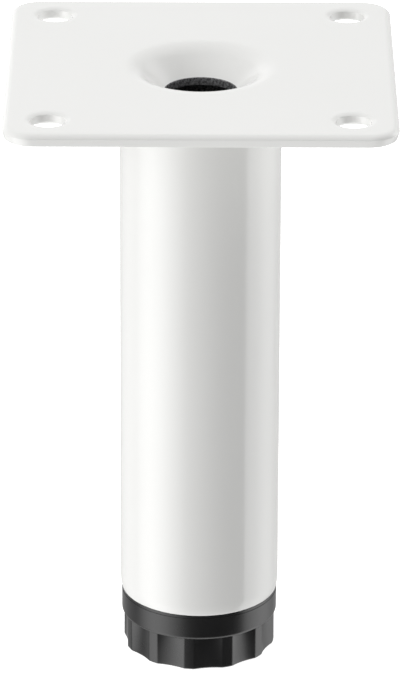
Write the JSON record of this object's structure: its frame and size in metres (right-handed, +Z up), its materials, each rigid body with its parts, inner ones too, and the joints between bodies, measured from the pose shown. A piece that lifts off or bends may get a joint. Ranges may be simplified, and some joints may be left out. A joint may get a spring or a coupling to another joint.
{
  "type": "adjustable cabinet leg",
  "caption": "Round tubular steel cabinet leg under a square screw-on plate with a dished centre hole, standing on a ribbed black foot that screws in and out to level it.",
  "frame": {"origin": "middle of the foot's base on the floor, with the foot screwed fully in", "axes": "+Z up along the tube to the mounting plate; +X and +Y along the plate's sides"},
  "size_m": [0.1, 0.1, 0.1636],
  "materials": {
    "white_coating": "glossy white powder coat on steel",
    "black_plastic": "satin black injection moulding",
    "zinc_steel": "bright zinc plating"
  },
  "bodies": {
    "foot": {"foot": "black_plastic", "spindle": "zinc_steel", "retaining_clip": "zinc_steel"},
    "stop": {"stop_washer": "zinc_steel"},
    "leg": {"mounting_plate": "white_coating", "leg_tube": "white_coating", "weld_seam": "white_coating", "tube_plug": "black_plastic", "captive_nut": "zinc_steel"}
  },
  "joints": [
    {"name": "foot_turn", "type": "hinge", "parent": "foot", "child": "stop", "pos_m": [0, 0, 0.0501], "axis": [0, 0, 1], "range_deg": [0, 3600]},
    {"name": "foot_travel", "type": "slide", "parent": "stop", "child": "leg", "axis": [0, 0, 1], "range_m": [0, 0.015]}
  ],
  "couplings": [
    {"joint": "foot_travel", "follows": "foot_turn", "m_per_rad": 0.00023873}
  ]
}
